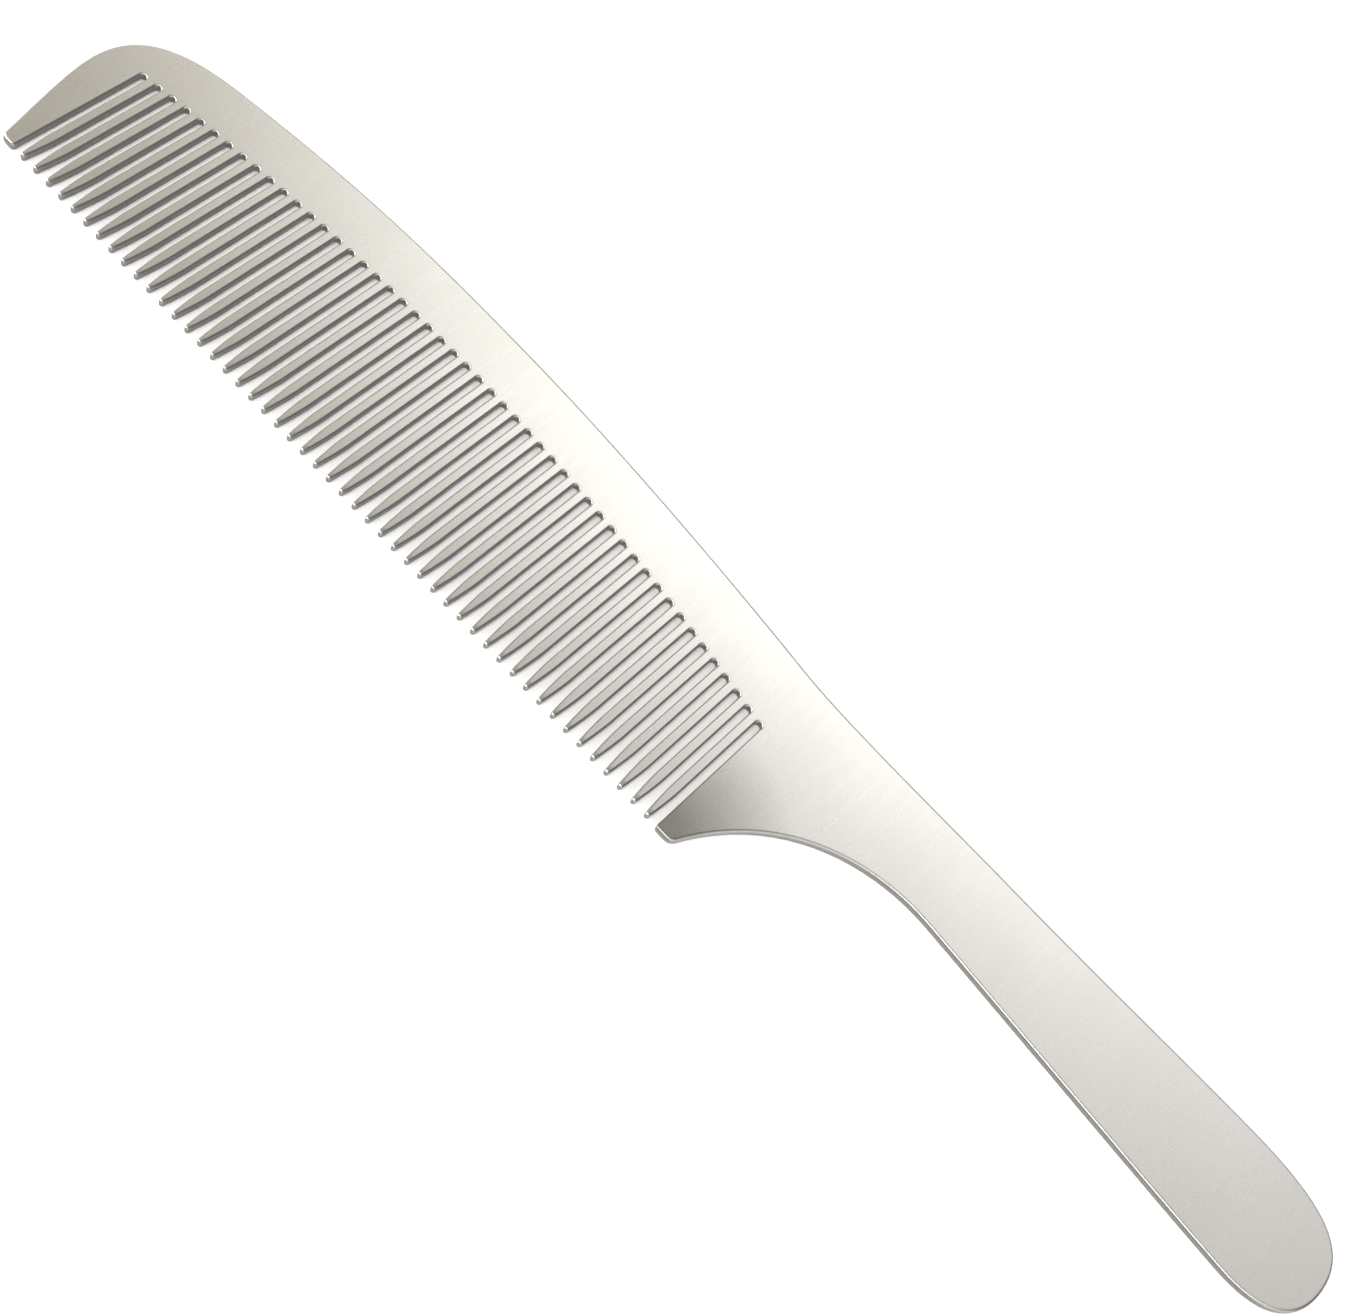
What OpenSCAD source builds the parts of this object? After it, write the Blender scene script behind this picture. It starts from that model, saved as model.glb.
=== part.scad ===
// Flat steel grooming comb with an integral handle.
// The comb lies on its flat face: +X runs from the front guard to the handle's end, the teeth
// point to -Y, +Z is up through the plate, and the origin is the middle of its underside.

/* [Plate] */
// Overall length of the comb
comb_length = 211.8; // [208:0.1:216]
// Overall width from the heel guard's tip to the crown of the back
comb_width = 32.25; // [31.5:0.05:34]
// Thickness of the steel plate
plate_thickness = 1.2; // [0.8:0.1:2]

/* [Teeth] */
// Number of teeth between the two guards
tooth_count = 49; // [40:1:52]
// Distance from one tooth to the next
tooth_pitch = 2.3; // [2.2:0.05:2.35]
// Width of the slot between two teeth
slot_width = 1; // [0.9:0.05:1.2]
// Radius of the rounded end of a tooth
tip_radius = 0.32; // [0.2:0.01:0.4]
// Length over which a tooth narrows to its tip
taper_length = 5; // [4:0.5:10]
// Depth of the deepest slot, from the tooth tips to the root arc
root_height = 24.5; // [22:0.05:26]
// Radius of the arc that the slot ends follow
root_arc_radius = 325; // [280:5:400]
// Distance of the root arc's highest point behind the first slot
root_arc_place = 55; // [45:1:65]
// Radius of the two corners at the end of each slot
slot_corner = 0.45; // [0.2:0.05:0.5]

/* [Guards] */
// How far the front guard reaches past the tooth tips
front_reach = 0.1; // [0:0.05:0.6]
// How far the heel guard reaches past the tooth tips
heel_reach = 0.25; // [0:0.05:0.6]
// Width of the front guard's blunt tip
front_tip_width = 2; // [1.8:0.1:2.8]
// How far the front guard bulges ahead of the first slot
front_bulge = 5.4; // [4.5:0.1:6]
// Width of the heel guard's blunt tip
heel_tip_width = 2.6; // [2.2:0.1:3.5]
// Length that each guard's tip corner next to a slot gives up to its curve
inner_corner = 0.65; // [0.4:0.05:0.7]
// Length that each guard's tip corner on the outer side gives up to its curve
outer_corner = 0.9; // [0.4:0.05:1]

/* [Handle] */
// Height of the straight back above the tooth tips at the neck
neck_back = 28.6; // [27.5:0.1:29.5]
// Height of the neck's lower edge above the tooth tips
neck_under = 16.6; // [16:0.1:18]
// Height of the handle's lower edge above the tooth tips, near its end
handle_under = 13.05; // [12.5:0.05:14.5]
// Distance from the rear guard's slot to the start of the handle
neck_offset = 17.2; // [15:0.1:19]

/* [Hidden] */
// Layout used below: x from the first slot's front wall, y from the line of the tooth tips.
curve_steps = 20;
corner_steps = 6;
tip_steps = 10;
taper_steps = 6;
taper_power = 1.5;
steel = [0.83, 0.82, 0.79];

slot_count = tooth_count + 1;
tooth_width = tooth_pitch - slot_width;
heel_x = tooth_count * tooth_pitch + slot_width;
heel_tip_x = heel_x + heel_tip_width;
neck_x = heel_x + neck_offset;
crown_y = comb_width - heel_reach;
rear_x = comb_length - front_bulge;
centre = [rear_x - comb_length / 2, crown_y - comb_width / 2];

// The rim's knots, clockwise from the front guard's tip: x, y, heading in degrees, and how far
// the curve holds that heading before and after the knot.
rim_knots = [
    [-front_tip_width, -front_reach, 103.5, 0, 7.5],
    [-front_bulge, 16.9, 90, 4, 7],
    [8.9, 28.3, 9, 9, 19.5],
    [59.8, crown_y, 0, 20.5, 16.5],
    [heel_x - 1.8, neck_back + 0.3, -6, 14.5, 9],
    [heel_x + 35.6, neck_back, 0, 12, 11],
    [rear_x - 18, neck_back + 0.7, 0.5, 11, 11],
    [rear_x, 20.9, -90, 7, 4.5],
    [rear_x - 11, handle_under, -183, 8.5, 11.5],
    [heel_x + 30.5, neck_under, -183.5, 10.5, 10.5],
    [heel_tip_x, -heel_reach, -114, 14, 0]
];

tooth_names = [for (k = [1 : tooth_count]) str("tooth_", k < 10 ? "0" : "", k)];

// A point that lies reach away from a knot, along its heading.
function ahead(knot, reach) = [knot[0], knot[1]] + reach * [cos(knot[2]), sin(knot[2])];

// A cubic curve from one knot towards the next, without its last point.
function span(a, b) =
    let (p0 = ahead(a, 0), p1 = ahead(a, a[4]), p2 = ahead(b, -b[3]), p3 = ahead(b, 0))
    [for (i = [0 : curve_steps - 1]) let (t = i / curve_steps, u = 1 - t)
        u * u * u * p0 + 3 * u * u * t * p1 + 3 * u * t * t * p2 + t * t * t * p3];

function curve_through(knots) = concat(
    [for (i = [0 : len(knots) - 2]) each span(knots[i], knots[i + 1])],
    [ahead(knots[len(knots) - 1], 0)]);

// Where a path crosses a level of x (axis 0) or y (axis 1): the point before it and the place.
function crossings(path, axis, level) = [for (i = [0 : len(path) - 2])
    let (a = path[i], b = path[i + 1])
    if ((a[axis] < level) != (b[axis] < level))
        [i, a + (b - a) * (level - a[axis]) / (b[axis] - a[axis])]];

function stretch(path, first, last) = [for (i = [first : last]) path[i]];

// A corner at b between a and c, softened over a short reach on both sides.
function softened(a, b, c, reach) =
    let (p = b + reach * (a - b) / norm(a - b), q = b + reach * (c - b) / norm(c - b))
    [for (i = [0 : corner_steps]) let (t = i / corner_steps)
        (1 - t) * (1 - t) * p + 2 * t * (1 - t) * b + t * t * q];

function slot_x(k) = (k - 1) * tooth_pitch;

// Height of slot k's end, on the root arc.
function root_y(k) = let (dx = slot_x(k) + slot_width / 2 - root_arc_place)
    root_height - root_arc_radius + sqrt(root_arc_radius * root_arc_radius - dx * dx);

// Height where tooth k meets the spine; 0 is the front guard and slot_count the rear one.
function seam_y(k) = min(root_y(max(k, 1)), root_y(min(k + 1, slot_count))) - slot_corner;

// The end of slot k, from its rear wall over its two rounded corners to its front wall.
function slot_end(k) = let (y = root_y(k) - slot_corner, half = slot_width / 2)
    [for (side = [1, -1], i = [0 : corner_steps])
        let (a = side > 0 ? 90 * i / corner_steps : 90 + 90 * i / corner_steps)
        [slot_x(k) + half + side * (half - slot_corner) + slot_corner * cos(a), y + slot_corner * sin(a)]];

// Half the width of a tooth at a height above its tip's centre.
function tooth_half(y) = tooth_width / 2
    - (tooth_width / 2 - tip_radius) * pow((taper_length - y) / (taper_length - tip_radius), taper_power);

rim = curve_through(rim_knots);
front_cut = crossings(rim, 1, seam_y(0))[0];
neck_top = crossings(rim, 0, neck_x)[0];
neck_bottom = crossings(rim, 0, neck_x)[1];

function front_guard_outline() = concat(
    softened([0, seam_y(0)], [0, -front_reach], rim[0], inner_corner),
    softened([0, -front_reach], rim[0], rim[1], outer_corner),
    stretch(rim, 1, front_cut[0]),
    [front_cut[1], [0, seam_y(0)]]);

function heel_guard_outline() = let (tip = len(rim) - 1) concat(
    [[neck_x, seam_y(slot_count)], neck_bottom[1]],
    stretch(rim, neck_bottom[0] + 1, tip - 1),
    softened(rim[tip - 1], rim[tip], [heel_x, -heel_reach], outer_corner),
    softened(rim[tip], [heel_x, -heel_reach], [heel_x, seam_y(slot_count)], inner_corner),
    [[heel_x, seam_y(slot_count)]]);

function spine_outline() = concat(
    [front_cut[1]],
    stretch(rim, front_cut[0] + 1, neck_top[0]),
    [neck_top[1], [neck_x, seam_y(slot_count)]],
    [for (k = [slot_count : -1 : 1]) each concat(
        [[slot_x(k) + slot_width, seam_y(k)]], slot_end(k), [[slot_x(k), seam_y(k - 1)]])]);

function handle_outline() = concat(
    [neck_top[1]],
    stretch(rim, neck_top[0] + 1, neck_bottom[0]),
    [neck_bottom[1]]);

function tooth_outline(k) =
    let (x = slot_x(k) + slot_width + tooth_width / 2,
        rise = [for (i = [1 : taper_steps]) tip_radius + (taper_length - tip_radius) * i / taper_steps])
    concat(
        [[x - tooth_width / 2, seam_y(k)]],
        [for (i = [taper_steps - 1 : -1 : 0]) [x - tooth_half(rise[i]), rise[i]]],
        [for (i = [0 : tip_steps]) let (a = 180 + 180 * i / tip_steps)
            [x + tip_radius * cos(a), tip_radius * (1 + sin(a))]],
        [for (i = [0 : taper_steps - 1]) [x + tooth_half(rise[i]), rise[i]]],
        [[x + tooth_width / 2, seam_y(k)]]);

module plate(outline) {
    translate([-centre[0], -centre[1], 0])
        linear_extrude(height = plate_thickness)
            polygon(outline);
}

module front_guard() { color(steel) plate(front_guard_outline()); }

module heel_guard() { color(steel) plate(heel_guard_outline()); }

module spine() { color(steel) plate(spine_outline()); }

module handle() { color(steel) plate(handle_outline()); }

module tooth(k) { color(steel) plate(tooth_outline(k)); }

front_guard();
heel_guard();
spine();
handle();
for (k = [1 : tooth_count]) tooth(k);
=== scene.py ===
"""Flat steel grooming comb, lying on a pale floor.

Each region of the blank is rebuilt from its own CAD node: the outline comes from the node's top face, and the
rounded edges, the tooth tips' rounding in thickness and the brushed finish are added here. Lengths are metres,
in the frame of the CAD.
"""
import math

import bmesh
import bpy
import numpy as np
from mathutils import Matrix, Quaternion, Vector


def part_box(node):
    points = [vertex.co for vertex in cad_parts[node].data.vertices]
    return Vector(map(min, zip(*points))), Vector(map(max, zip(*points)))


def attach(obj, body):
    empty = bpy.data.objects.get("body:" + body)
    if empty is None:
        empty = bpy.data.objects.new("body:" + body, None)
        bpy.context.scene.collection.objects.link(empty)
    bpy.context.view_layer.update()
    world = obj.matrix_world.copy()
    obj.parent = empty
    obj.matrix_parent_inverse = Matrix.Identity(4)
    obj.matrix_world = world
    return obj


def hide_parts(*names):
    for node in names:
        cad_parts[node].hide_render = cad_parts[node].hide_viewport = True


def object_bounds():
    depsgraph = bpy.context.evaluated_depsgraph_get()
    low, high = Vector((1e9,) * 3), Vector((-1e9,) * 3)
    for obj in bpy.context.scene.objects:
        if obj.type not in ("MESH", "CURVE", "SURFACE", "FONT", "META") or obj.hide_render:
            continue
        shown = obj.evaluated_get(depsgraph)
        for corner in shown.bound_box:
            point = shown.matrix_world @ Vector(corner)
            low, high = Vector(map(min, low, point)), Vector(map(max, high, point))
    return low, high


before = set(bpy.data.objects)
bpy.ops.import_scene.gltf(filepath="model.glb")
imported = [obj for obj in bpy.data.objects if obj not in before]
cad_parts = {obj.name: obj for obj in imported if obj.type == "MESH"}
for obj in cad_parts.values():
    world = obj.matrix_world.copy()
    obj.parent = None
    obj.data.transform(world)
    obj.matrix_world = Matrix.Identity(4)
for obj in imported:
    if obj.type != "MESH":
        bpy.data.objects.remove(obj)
cad_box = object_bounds()

MM = 0.001
THICK = cad_box[1].z - cad_box[0].z

# ---------------------------------------------------------------- sizes
RIM_RADIUS = 0.45 * MM         # rounding of the comb's outer edges
SLOT_RADIUS = 0.25 * MM        # rounding of the teeth and of the edges that face a slot
SLOT_REACH = (1.3 * MM, 2.1 * MM)  # distances from the teeth between which one rounding becomes the other
EDGE_STEPS = 6                 # facets in each rounded edge
SUPPORT = 0.03 * MM            # narrow strip beside each rounding that keeps the flat faces' shading flat
TIP_ROUND = 0.4 * MM           # length over which a tooth's tip rounds over in thickness
TIP_THICK = 0.55               # share of the thickness left at the very tip
TIP_WIDTH = 0.45               # share of the lowest station's width left at the very tip
ROUNDEST = 0.95                # the most of a section's half-width or half-thickness that its rounding takes
MIDLINE = 0.01 * MM            # outline points nearer a tooth's middle line than this aren't on its side

SAME_PLACE = 1e-6              # points nearer than this are one point
SEAM_GAP = 5 * SAME_PLACE      # edges nearer than this to another node's outline lie against it
SHORTEST_SEAM = 50 * SAME_PLACE  # no seam has an edge shorter than this
IN_LINE = 1e-3                 # edges that turn by less than this, in radians, count as one line
WELD = 1e-8                    # vertices nearer than this become one
SHARP_ANGLE = math.radians(50)  # edges that turn by more than this keep a hard shading line
UV_SCALE = 10                  # UV units per metre

HEEL_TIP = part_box("heel_guard")[0]   # the corner of the heel guard next to the last slot
PLATES = ("front_guard", "spine", "heel_guard", "handle")
TEETH = sorted(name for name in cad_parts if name.startswith("tooth_"))

# ---------------------------------------------------------------- finish
FACE_TONES = ((0.775, 0.760, 0.728, 1), (0.815, 0.804, 0.782, 1))   # the brushed faces, in broad clouds
STREAK_TONE = (0.84, 0.83, 0.80, 1)    # the light streaks on them
STREAK_SHARE = 0.12                    # how far a streak moves the face's tone at most
WALL_TONES = ((0.19, 0.185, 0.172, 1), (0.30, 0.292, 0.275, 1))     # the dull cut walls, in specks
BAND_TONE = (0.29, 0.283, 0.268, 1)    # the even tone of the walls' upper part
PAINTED_HEEL_SHADE_TONE = (0.36, 0.352, 0.325, 1)   # painted shade: the heel guard's face at its tip, darkened in place of a darker reflection
PAINTED_HEEL_SHADE_REACH = (3 * MM, 17 * MM)        # distances from the heel guard's tip over which that painted shade fades out
FACE_ROUGHNESS = (0.265, 0.295)
WALL_ROUGHNESS = (0.42, 0.55)
WALL_TURN = (0.86, 0.96)       # upward parts of the normal between which a wall becomes a face
SIDE_SHADE_TURN = 0.3                # how much of the normal's X part counts against its upward part: painted shade that turns the sides facing the handle dark sooner
BAND_HEIGHTS = (0.60, 0.72)    # shares of the thickness between which that tone takes over
NOISE_SPAN = (0.3, 0.7)        # the middle part of a noise's values, which is all that is used
GRAIN_SPAN = (0.7, 1.3)        # the same for two noises added up
BUMP_STRENGTH, BUMP_DEPTH = 0.035, 0.02 * MM

FLOOR_TONE = (0.96, 0.96, 0.96, 1)
FLOOR_HALF = 4.0               # half of the floor's side
FLOOR_GAP = 0.02 * MM          # the floor lies this far under the comb

SKY_TOP, SKY_SIDES = 0.30, 0.55  # brightness of the room overhead and at the sides
SKY_TURN = (0.80, 0.94)        # upward parts of a direction between which the sides become the top
SKY_WARM = (1.0, 0.935, 0.80, 1)      # the room's colour on the front guard's side
SKY_PLAIN = (1.0, 0.985, 0.95, 1)     # its colour elsewhere
WARM_TURN = (-0.55, 0.1)       # X parts of a direction between which the one becomes the other


# ---------------------------------------------------------------- outlines
def border_loop(node):
    """The ordered border of the node's top face. Edges shared by two triangles cancel out."""
    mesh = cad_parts[node].data
    places, points, index_of = {}, [], []
    for vertex in mesh.vertices:
        key = tuple(round(c / SAME_PLACE) for c in vertex.co)
        if key not in places:
            places[key] = len(points)
            points.append(vertex.co.copy())
        index_of.append(places[key])
    top = max(p.z for p in points)
    edges = set()
    for polygon in mesh.polygons:
        corners = [index_of[i] for i in polygon.vertices]
        if min(points[i].z for i in corners) < top - SAME_PLACE:
            continue
        for edge in zip(corners, corners[1:] + corners[:1]):
            if edge[::-1] in edges:
                edges.remove(edge[::-1])
            else:
                edges.add(edge)
    after = dict(edges)
    start = min(after)
    loop, here = [start], after[start]
    while here != start:
        loop.append(here)
        here = after[here]
    return np.array([points[i][:2] for i in loop], float)


OUTLINES = {name: border_loop(name) for name in (*PLATES, *TEETH)}


def edges_of(loop):
    """The edge that leaves each point of a closed line."""
    return np.roll(loop, -1, axis=0) - loop


def gaps(points, line):
    """Distance from each point to each edge of a closed line."""
    along = edges_of(line)
    offset = points[:, None] - line[None]
    share = np.clip((offset * along[None]).sum(2) / (along ** 2).sum(1)[None], 0, 1)
    return np.linalg.norm(offset - share[..., None] * along[None], axis=2)


def middles(loop):
    return (loop + np.roll(loop, -1, axis=0)) / 2


def seam_edges(name):
    """True for each edge of the outline that lies against another node's outline."""
    loop = OUTLINES[name]
    seam = np.zeros(len(loop), bool)
    for other, line in OUTLINES.items():
        if other != name:
            seam |= gaps(middles(loop), line).min(1) < SEAM_GAP
            # an edge that several neighbours share is found from their side
            seam |= gaps(middles(line), loop).min(0) < SEAM_GAP
    # next to a seam the outline can have an edge so short that it would pass for one
    return seam & (np.linalg.norm(edges_of(loop), axis=1) > SHORTEST_SEAM)


def edge_radii(loop):
    """The rounding at each point: that of a slot's edge near the teeth, that of the rim further off."""
    nearest = np.min([gaps(loop, OUTLINES[tooth]).min(1) for tooth in TEETH], axis=0)
    share = np.clip((nearest - SLOT_REACH[0]) / (SLOT_REACH[1] - SLOT_REACH[0]), 0, 1)
    return SLOT_RADIUS + (RIM_RADIUS - SLOT_RADIUS) * share * share * (3 - 2 * share)


def inset(loop, seam, depths):
    """The outline moved inwards by each point's own depth, except along its seams, where it stays."""
    before = np.roll(loop, 1, axis=0)
    after = np.roll(loop, -1, axis=0)
    moved = []
    for i, point in enumerate(loop):
        e0, e1 = point - before[i], after[i] - point
        n0 = np.array([-e0[1], e0[0]]) / np.linalg.norm(e0)
        n1 = np.array([-e1[1], e1[0]]) / np.linalg.norm(e1)
        d0 = 0.0 if seam[i - 1] else depths[i]
        d1 = 0.0 if seam[i] else depths[i]
        cross = n0[0] * n1[1] - n0[1] * n1[0]
        if abs(cross) < IN_LINE:
            shift = (n0 + n1) / 2 * max(d0, d1)
        else:
            shift = np.array([(d0 * n1[1] - d1 * n0[1]) / cross, (d1 * n0[0] - d0 * n1[0]) / cross])
        moved.append(point + shift)
    return np.array(moved)


def quarter_turn():
    """The angles of a rounded edge's facets, from 0 to a right angle."""
    return (math.pi / 2 * i / EDGE_STEPS for i in range(EDGE_STEPS + 1))


def edge_profile(radius):
    """(inset, height) down the plate's edge, from the top face's border to the underside's."""
    upper = [(radius + SUPPORT, THICK)]
    upper += [(radius - radius * math.sin(a), THICK - radius + radius * math.cos(a)) for a in quarter_turn()]
    upper.append((0.0, THICK - radius - SUPPORT))
    return upper + [(depth, THICK - z) for depth, z in reversed(upper)]


# ---------------------------------------------------------------- meshes
def lofted(name, rings):
    """A closed piece through rings of points that have the same count."""
    bm = bmesh.new()
    rings = [[bm.verts.new(point) for point in ring] for ring in rings]
    for upper, lower in zip(rings, rings[1:]):
        for i in range(len(upper)):
            j = (i + 1) % len(upper)
            bm.faces.new((upper[i], lower[i], lower[j], upper[j]))
    bm.faces.new(rings[0])
    bm.faces.new(rings[-1][::-1])
    return finish_mesh(name, bm)


def finish_mesh(name, bm):
    """Turns bm into a piece: smooth but for its seams, with a UV map whose u runs across the grain."""
    bmesh.ops.remove_doubles(bm, verts=bm.verts, dist=WELD)
    bmesh.ops.recalc_face_normals(bm, faces=bm.faces)
    bmesh.ops.triangulate(bm, faces=[f for f in bm.faces if len(f.verts) > 4])
    uv = bm.loops.layers.uv.new("grain")
    for face in bm.faces:
        face.smooth = True
        for loop in face.loops:
            loop[uv].uv = (loop.vert.co.x * UV_SCALE, loop.vert.co.y * UV_SCALE)
    mesh = bpy.data.meshes.new(name)
    bm.to_mesh(mesh)
    bm.free()
    mesh.set_sharp_from_angle(angle=SHARP_ANGLE)
    piece = bpy.data.objects.new(name, mesh)
    bpy.context.scene.collection.objects.link(piece)
    return piece


def plate_piece(node):
    """A flat region of the blank, with its outer edges rounded over and its seams left square."""
    loop, seam = OUTLINES[node], seam_edges(node)
    profiles = np.array([edge_profile(radius) for radius in edge_radii(loop)])
    rings = []
    for level in range(profiles.shape[1]):
        ring = inset(loop, seam, profiles[:, level, 0])
        rings.append([(x, y, z) for (x, y), z in zip(ring, profiles[:, level, 1])])
    return lofted(node + "_plate", rings)


def tooth_section(centre_x, y, half_width, half_thick):
    """One rounded rectangular section of a tooth, as points round it."""
    r = min(SLOT_RADIUS, half_width * ROUNDEST, half_thick * ROUNDEST)
    strip = min(SUPPORT, half_width - r, half_thick - r)
    corner = [(half_width - r + r * math.cos(a), half_thick - r + r * math.sin(a)) for a in quarter_turn()]
    corner = [(half_width, half_thick - r - strip), *corner, (half_width - r - strip, half_thick)]
    points = []
    for sx, sz in ((1, 1), (-1, 1), (-1, -1), (1, -1)):
        arc = corner if sx == sz else corner[::-1]
        points += [(centre_x + sx * x, y, THICK / 2 + sz * z) for x, z in arc]
    return points


def tooth_piece(node):
    """A tooth lofted along its length through the half-widths of its CAD outline."""
    loop = OUTLINES[node]
    low, high = loop.min(0), loop.max(0)
    centre_x = (low[0] + high[0]) / 2
    side = sorted((y, x - centre_x) for x, y in loop if x > centre_x + MIDLINE)
    tip = low[1]
    stations = [(tip, side[0][1] * TIP_WIDTH, THICK / 2 * TIP_THICK)]
    for y, half_width in side:
        short = max(0.0, 1 - (y - tip) / TIP_ROUND)
        dip = 1 - math.sqrt(max(0.0, 1 - short ** 2))
        stations.append((y, half_width, THICK / 2 * (1 - (1 - TIP_THICK) * dip)))
    return lofted(node + "_steel", [tooth_section(centre_x, *station) for station in stations])


# ---------------------------------------------------------------- material
def add(nodes, kind, **values):
    """A shader node with its properties and input values set."""
    made = nodes.new(kind)
    for key, value in values.items():
        if key.startswith("in_"):
            made.inputs[key[3:].replace("_", " ")].default_value = value
        else:
            setattr(made, key, value)
    return made


def feed(socket, value):
    """Links an output to the socket, or sets the socket to a plain value."""
    if isinstance(value, bpy.types.NodeSocket):
        socket.id_data.links.new(value, socket)
    else:
        socket.default_value = value


def ranged(nodes, value, span, to_span, smooth=False):
    """Carries the first span of values over to the second, and stops at its ends."""
    made = add(nodes, "ShaderNodeMapRange", interpolation_type="SMOOTHSTEP" if smooth else "LINEAR",
               in_From_Min=span[0], in_From_Max=span[1], in_To_Min=to_span[0], in_To_Max=to_span[1])
    feed(made.inputs["Value"], value)
    return made.outputs["Result"]


def mixed(nodes, factor, first, second, kind="RGBA"):
    """The first value or colour where the factor is 0, the second where it is 1."""
    made = add(nodes, "ShaderNodeMix", data_type=kind)
    a, b, result = {"RGBA": (6, 7, 2), "FLOAT": (2, 3, 0)}[kind]
    for index, value in ((0, factor), (a, first), (b, second)):
        feed(made.inputs[index], value)
    return made.outputs[result]


def combined(nodes, operation, *values):
    made = add(nodes, "ShaderNodeMath", operation=operation)
    for socket, value in zip(made.inputs, values):
        feed(socket, value)
    return made.outputs[0]


def axes_of(nodes, vector):
    made = add(nodes, "ShaderNodeSeparateXYZ")
    feed(made.inputs["Vector"], vector)
    return made.outputs


def brushed_steel():
    """Satin stainless plate: a fine grain along the teeth on its faces, duller cut walls, and painted shade on
    the sides that face the handle and towards the heel guard's tip.
    """
    material = bpy.data.materials.new("brushed_steel")
    material.use_nodes = True
    nodes = material.node_tree.nodes
    nodes.clear()
    out = add(nodes, "ShaderNodeOutputMaterial")
    shader = add(nodes, "ShaderNodeBsdfPrincipled", in_Metallic=1.0, in_Anisotropic=0.9)
    feed(out.inputs["Surface"], shader.outputs["BSDF"])
    tangent = add(nodes, "ShaderNodeTangent", direction_type="UV_MAP", uv_map="grain")
    feed(shader.inputs["Tangent"], tangent.outputs["Tangent"])
    place = add(nodes, "ShaderNodeTexCoord").outputs["Object"]
    place_axes = axes_of(nodes, place)

    def noise(scale, detail):
        """Noise with its own scale along X, Y and Z, per metre."""
        stretch = add(nodes, "ShaderNodeMapping", in_Scale=scale)
        made = add(nodes, "ShaderNodeTexNoise", in_Scale=1.0, in_Detail=detail, in_Roughness=0.55)
        feed(stretch.inputs["Vector"], place)
        feed(made.inputs["Vector"], stretch.outputs["Vector"])
        return made.outputs["Fac"]

    fine = noise((7000, 160, 7000), 3.0)
    streaks = noise((900, 90, 900), 2.0)
    clouds = noise((60, 40, 60), 2.0)
    specks = noise((3000, 3000, 900), 4.0)

    # how far the surface turns from a flat face towards a cut wall, with painted shade added: the teeth's sides
    # that face the handle are painted as dark wall sooner than the rim, and the sides that face the front guard
    # later
    normal = axes_of(nodes, add(nodes, "ShaderNodeNewGeometry").outputs["Normal"])
    upward = combined(nodes, "ABSOLUTE", normal["Z"])
    upward = combined(nodes, "SUBTRACT", upward, combined(nodes, "MULTIPLY", normal["X"], SIDE_SHADE_TURN))
    wall_and_side_shade = ranged(nodes, upward, WALL_TURN, (1.0, 0.0), smooth=True)

    speckled = mixed(nodes, ranged(nodes, specks, NOISE_SPAN, (0.0, 1.0)), *WALL_TONES)
    band = ranged(nodes, place_axes["Z"], [THICK * share for share in BAND_HEIGHTS], (0.0, 1.0), smooth=True)
    wall_colour = mixed(nodes, band, speckled, BAND_TONE)

    clouded = mixed(nodes, ranged(nodes, clouds, NOISE_SPAN, (0.0, 1.0)), *FACE_TONES)
    streak = ranged(nodes, streaks, NOISE_SPAN, (0.0, STREAK_SHARE))
    face_colour = mixed(nodes, streak, clouded, STREAK_TONE)

    # painted shade: the heel guard's face is painted darker towards its tip, in place of a darker reflection
    # there
    reach = add(nodes, "ShaderNodeVectorMath", operation="DISTANCE")
    feed(reach.inputs[0], place)
    reach.inputs[1].default_value = (HEEL_TIP.x, HEEL_TIP.y, THICK)
    painted_shade_near_tip = ranged(nodes, reach.outputs["Value"], PAINTED_HEEL_SHADE_REACH, (1.0, 0.0))
    on_heel = ranged(nodes, place_axes["X"], (HEEL_TIP.x - 1 * MM, HEEL_TIP.x), (0.0, 1.0))
    face_colour = mixed(nodes, combined(nodes, "MULTIPLY", painted_shade_near_tip, on_heel), face_colour, PAINTED_HEEL_SHADE_TONE)
    feed(shader.inputs["Base Color"], mixed(nodes, wall_and_side_shade, face_colour, wall_colour))

    face_roughness = ranged(nodes, combined(nodes, "ADD", fine, streaks), GRAIN_SPAN, FACE_ROUGHNESS)
    wall_roughness = ranged(nodes, specks, NOISE_SPAN, WALL_ROUGHNESS)
    feed(shader.inputs["Roughness"], mixed(nodes, wall_and_side_shade, face_roughness, wall_roughness, "FLOAT"))

    bump = add(nodes, "ShaderNodeBump", in_Strength=BUMP_STRENGTH, in_Distance=BUMP_DEPTH)
    feed(bump.inputs["Height"], fine)
    feed(shader.inputs["Normal"], bump.outputs["Normal"])
    return material


def pale_floor():
    material = bpy.data.materials.new("pale_floor")
    material.use_nodes = True
    shader = material.node_tree.nodes["Principled BSDF"]
    shader.inputs["Base Color"].default_value = FLOOR_TONE
    shader.inputs["Roughness"].default_value = 0.9
    shader.inputs["Specular IOR Level"].default_value = 0.1
    return material


# ---------------------------------------------------------------- the comb
steel = brushed_steel()
for node in (*PLATES, *TEETH):
    piece = plate_piece(node) if node in PLATES else tooth_piece(node)
    piece.data.materials.append(steel)
    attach(piece, "root")
    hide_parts(node)


# ---------------------------------------------------------------- floor, camera and light
def placed(name, data, place):
    made = bpy.data.objects.new(name, data)
    bpy.context.scene.collection.objects.link(made)
    made.location = place
    return made


def turned_to(place, aim, roll=0.0):
    """The rotation that points -Z from a place to its aim, turned about that line by roll degrees."""
    towards = (Vector(aim) - Vector(place)).to_track_quat("-Z", "Y")
    return (towards @ Quaternion((0, 0, 1), math.radians(roll))).to_euler()


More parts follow.
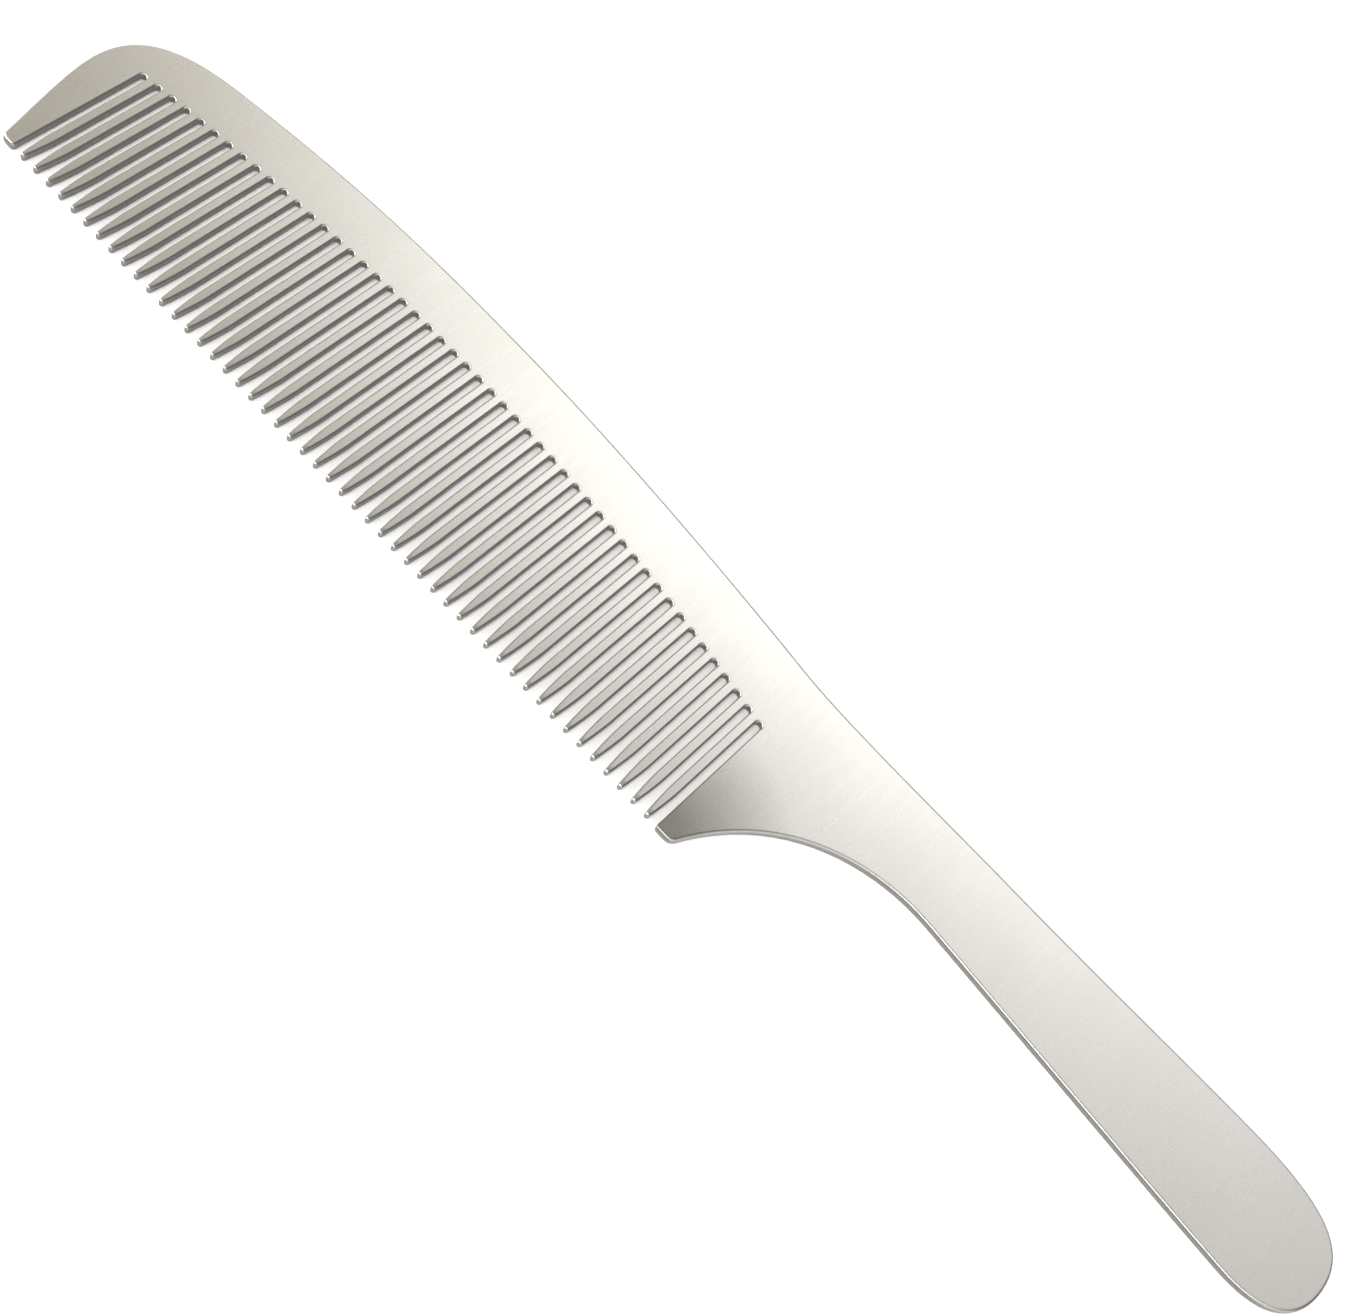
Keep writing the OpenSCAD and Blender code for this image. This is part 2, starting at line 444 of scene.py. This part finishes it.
def floor():
    mesh = bpy.data.meshes.new("floor")
    half = FLOOR_HALF
    corners = [(-half, -half, 0), (half, -half, 0), (half, half, 0), (-half, half, 0)]
    mesh.from_pydata(corners, [], [(0, 1, 2, 3)])
    made = placed("floor", mesh, (0, 0, cad_box[0].z - FLOOR_GAP))
    made.data.materials.append(pale_floor())


def camera():
    """A 52 mm lens in front of the tooth tips, 0.2 m up, rolled so that the comb lies corner to corner."""
    data = bpy.data.cameras.new("camera")
    data.sensor_width = 36
    data.lens = 51.56
    data.clip_start, data.clip_end = 0.01, 20
    place = (0.02099, -0.106105, 0.20684)
    made = placed("camera", data, place)
    made.rotation_euler = turned_to(place, aim=(-0.000384, 0.001506, 0), roll=36.26)
    bpy.context.scene.camera = made


def softbox(name, place, aim, size, power, roll=0.0):
    data = bpy.data.lights.new(name, "AREA")
    data.shape = "RECTANGLE"
    data.size, data.size_y = size
    data.energy = power
    made = placed(name, data, place)
    made.rotation_euler = turned_to(place, aim, roll)
    made.visible_camera = False


def sky():
    """A soft room: pale at the sides, darker overhead, and a little warmer towards the front guard."""
    world = bpy.data.worlds.new("studio")
    world.use_nodes = True
    nodes = world.node_tree.nodes
    direction = axes_of(nodes, add(nodes, "ShaderNodeTexCoord").outputs["Generated"])
    brightness = ranged(nodes, direction["Z"], SKY_TURN, (SKY_SIDES, SKY_TOP), smooth=True)
    plainness = ranged(nodes, direction["X"], WARM_TURN, (0.0, 1.0), smooth=True)
    feed(nodes["Background"].inputs["Color"], mixed(nodes, plainness, SKY_WARM, SKY_PLAIN))
    feed(nodes["Background"].inputs["Strength"], brightness)
    bpy.context.scene.world = world


def studio():
    """Two panels that the faces mirror towards the camera, and four boxes that light the edges and the floor."""
    sky()
    bpy.context.scene.view_settings.view_transform = "Standard"
    softbox("back_panel", (-0.13, 0.675, 0.75), aim=(-0.13, 0.675, 0), size=(0.58, 0.56), power=1.42, roll=14)
    softbox("side_panel", (0.18, 0.45, 0.75), aim=(0.18, 0.45, 0), size=(0.24, 0.34), power=0.2)
    softbox("overhead", (-0.2, -0.45, 1.2), aim=(-0.2, -0.45, 0), size=(0.5, 0.6), power=6)
    softbox("front_box", (0, -0.95, 0.95), aim=(0, 0, 0), size=(1.6, 0.6), power=8)
    softbox("left_key", (-1.1, -0.4, 0.8), aim=(0, 0, 0), size=(0.8, 0.8), power=12)
    softbox("right_fill", (1.1, -0.4, 0.8), aim=(0, 0, 0), size=(0.8, 0.8), power=8)


floor()
camera()
studio()
